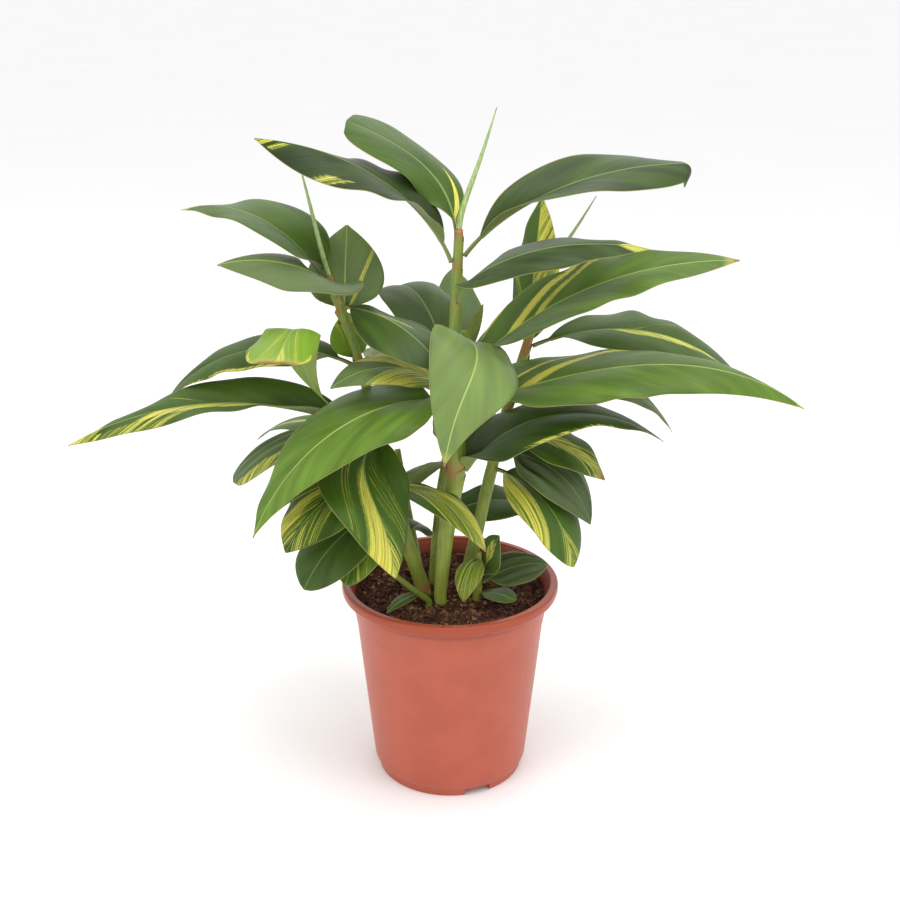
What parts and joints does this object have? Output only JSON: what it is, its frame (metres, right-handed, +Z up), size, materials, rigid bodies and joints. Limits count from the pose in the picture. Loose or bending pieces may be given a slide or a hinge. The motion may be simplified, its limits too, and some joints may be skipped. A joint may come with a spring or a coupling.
{
  "type": "potted shell ginger",
  "caption": "Variegated shell ginger house plant: leafy reed stems with long streaked leaves, in a round terracotta-coloured nursery pot.",
  "frame": {"origin": "middle of the pot's underside, on the surface that it stands on", "axes": "+Z up along the pot's axis; +X to the right and +Y away from the side that shows the most leaves"},
  "size_m": [0.6633, 0.3567, 0.6482],
  "materials": {
    "pot_plastic": "satin moulded terracotta-coloured plastic",
    "potting_soil": "dark crumbly peat with tan coir fibres",
    "stem_green": "smooth yellow-green leaf sheaths with pink tints",
    "leaf_green": "satin dark green leaf with yellow streaks along its side veins",
    "spear_green": "pale green rolled young leaf",
    "stalk_brown": "dry brownish cut stalk"
  },
  "bodies": {
    "root": {"pot": "pot_plastic", "soil": "potting_soil", "main_stem": "stem_green", "main_leaf_01": "leaf_green", "main_leaf_02": "leaf_green", "main_leaf_03": "leaf_green", "main_leaf_04": "leaf_green", "main_leaf_05": "leaf_green", "main_leaf_06": "leaf_green", "main_leaf_07": "leaf_green", "main_leaf_08": "leaf_green", "main_leaf_09": "leaf_green", "main_leaf_10": "leaf_green", "main_leaf_11": "leaf_green", "main_leaf_12": "leaf_green", "main_spear": "spear_green", "left_stem": "stem_green", "left_leaf_01": "leaf_green", "left_leaf_02": "leaf_green", "left_leaf_03": "leaf_green", "left_leaf_04": "leaf_green", "left_leaf_05": "leaf_green", "left_leaf_06": "leaf_green", "left_leaf_07": "leaf_green", "left_leaf_08": "leaf_green", "left_leaf_09": "leaf_green", "left_leaf_10": "leaf_green", "left_leaf_11": "leaf_green", "left_leaf_12": "leaf_green", "left_leaf_13": "leaf_green", "left_leaf_14": "leaf_green", "left_leaf_15": "leaf_green", "left_leaf_16": "leaf_green", "left_leaf_17": "leaf_green", "left_leaf_18": "leaf_green", "left_spear": "spear_green", "right_stem": "stem_green", "right_leaf_01": "leaf_green", "right_leaf_02": "leaf_green", "right_leaf_03": "leaf_green", "right_leaf_04": "leaf_green", "right_leaf_05": "leaf_green", "right_leaf_06": "leaf_green", "right_spear": "spear_green", "back_stem": "stem_green", "back_leaf_01": "leaf_green", "back_leaf_02": "leaf_green", "back_leaf_03": "leaf_green", "back_leaf_04": "leaf_green", "back_leaf_05": "leaf_green", "back_leaf_06": "leaf_green", "back_left_stem": "stem_green", "back_left_leaf_01": "leaf_green", "side_stem": "stem_green", "side_leaf_01": "leaf_green", "side_leaf_02": "leaf_green", "side_leaf_03": "leaf_green", "side_leaf_04": "leaf_green", "cut_stalk": "stalk_brown"}
  },
  "joints": []
}
